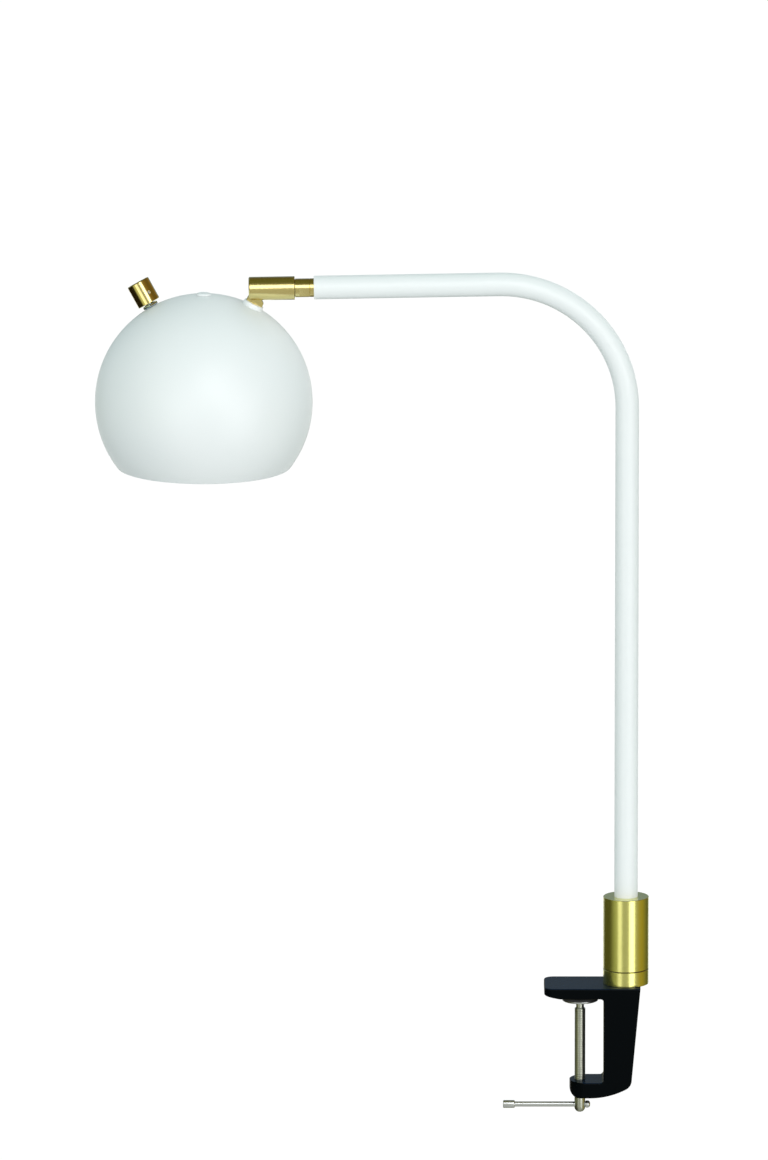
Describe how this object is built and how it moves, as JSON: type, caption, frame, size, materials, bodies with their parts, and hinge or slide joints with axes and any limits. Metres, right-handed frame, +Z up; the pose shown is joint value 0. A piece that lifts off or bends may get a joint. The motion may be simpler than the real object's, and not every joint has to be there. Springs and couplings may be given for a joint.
{
  "type": "swing arm desk lamp",
  "caption": "Table-clamp desk lamp with a bent tube arm that swings in a collar, a swivelling and tilting knuckle, and a cut-ball shade with a switch knob.",
  "frame": {"origin": "underside of the table jaw, on the axis of the clamp's spindle", "axes": "+Z up along the spindle and column, the arm reaches towards -X, +Y is the back of the lamp"},
  "size_m": [0.4589, 0.18, 0.7125],
  "materials": {
    "white_paint": "satin white paint",
    "brass": "brushed, lacquered",
    "black_enamel": "gloss black paint on a casting",
    "nickel": "nickel plated",
    "steel": "zinc plated",
    "chrome": "polished",
    "black_rubber": "matt",
    "nylon": "plain",
    "lead_sheath": "white sheath",
    "holder_plastic": "black thermoplastic",
    "contact_brass": "plain",
    "cap_metal": "plain",
    "white_plastic": "gloss",
    "opal_glass": "frosted"
  },
  "bodies": {
    "clamp": {"clamp_frame": "black_enamel", "base_ring": "brass", "seam_washer": "nylon", "swing_axle": "steel", "thrust_washer": "steel", "lock_nut": "steel"},
    "pad": {"pad_disc": "nickel", "pad_cushion": "black_rubber"},
    "spindle": {"clamp_spindle": "nickel"},
    "bar": {"tommy_bar": "nickel", "tommy_bar_grip": "nickel"},
    "arm": {"swing_sleeve": "brass", "swing_hub": "steel", "spring_washer": "steel", "tube_grub_screw": "steel", "cord_bush": "black_rubber", "arm_tube": "white_paint", "arm_lead": "lead_sheath", "tube_insert": "white_paint", "stem_ring": "brass", "swivel_stem": "brass", "swivel_washer": "nylon"},
    "knuckle": {"knuckle_body": "brass", "swivel_grub_screw": "steel", "pivot_pin": "steel", "pivot_washer_front": "nylon", "pivot_washer_back": "nylon"},
    "head": {"tongue": "brass", "saddle": "white_paint", "stud_washer": "steel", "stud_nut": "steel", "shade": "white_paint", "switch_body": "holder_plastic", "switch_bush": "chrome", "switch_nut": "chrome", "top_screw": "white_paint", "holder_cap": "holder_plastic", "holder_body": "holder_plastic", "holder_shell": "contact_brass", "holder_contact": "contact_brass", "bulb_cap": "cap_metal", "bulb_neck": "white_plastic", "bulb_globe": "opal_glass", "stud_wire": "lead_sheath", "holder_wire": "lead_sheath"},
    "knob": {"knob": "brass", "knob_grub_screw": "steel", "switch_shaft": "steel"}
  },
  "joints": [
    {"name": "arm_swing", "type": "hinge", "parent": "clamp", "child": "arm", "pos_m": [0.038, 0, 0.0214], "axis": [0, 0, 1], "continuous": true},
    {"name": "knuckle_swivel", "type": "hinge", "parent": "arm", "child": "knuckle", "pos_m": [-0.221, 0, 0.5989], "axis": [-0.9998, 0, -0.0175], "range_deg": [-148, 148]},
    {"name": "shade_tilt", "type": "hinge", "parent": "knuckle", "child": "head", "pos_m": [-0.26409, 0, 0.59815], "axis": [0, 1, 0], "range_deg": [-30, 55]},
    {"name": "knob_turn", "type": "hinge", "parent": "head", "child": "knob", "pos_m": [-0.312, 0, 0.50247], "axis": [-0.4835, 0.1387, 0.8643], "range_deg": [0, 270]},
    {"name": "pad_slide", "type": "slide", "parent": "clamp", "child": "pad", "axis": [0, 0, -1], "range_m": [-0.0021, 0.06]},
    {"name": "spindle_turn", "type": "hinge", "parent": "pad", "child": "spindle", "pos_m": [0, 0, -0.0061], "axis": [0, 0, -1], "range_deg": [-504, 14400]},
    {"name": "bar_slide", "type": "slide", "parent": "spindle", "child": "bar", "axis": [1, 0, 0], "range_m": [0, 0.0494]}
  ],
  "couplings": [
    {"joint": "spindle_turn", "follows": "pad_slide", "rad_per_m": 4188.8}
  ]
}
